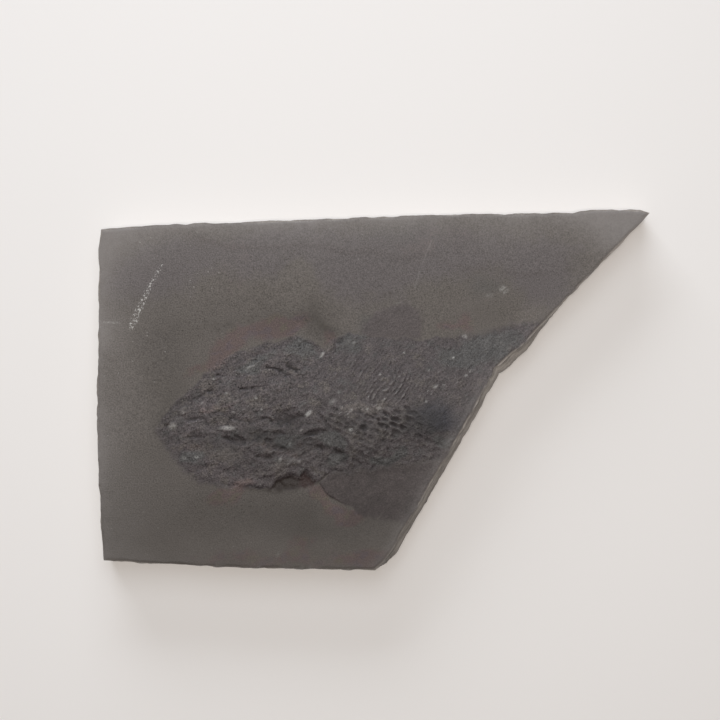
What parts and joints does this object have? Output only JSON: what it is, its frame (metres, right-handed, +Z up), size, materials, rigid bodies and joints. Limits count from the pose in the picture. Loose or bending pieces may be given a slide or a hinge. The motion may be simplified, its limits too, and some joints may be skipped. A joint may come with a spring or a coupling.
{
  "type": "fossil fish plate",
  "caption": "Flat slab of dark shale with one slanted broken edge and a fossil fish in low relief on its upper face.",
  "frame": {"origin": "under the middle of the slab's bounding box, on the flat face it rests on", "axes": "+X along the slab's long edge towards its sharp corner, +Y across it towards that edge, +Z up out of the face with the fish"},
  "size_m": [0.17, 0.1114, 0.013],
  "materials": {
    "dark_shale": "matt split shale, fine grained, with a faint sheen on the scales and bones of the fish"
  },
  "bodies": {
    "root": {"fossil_plate": "dark_shale"}
  },
  "joints": []
}
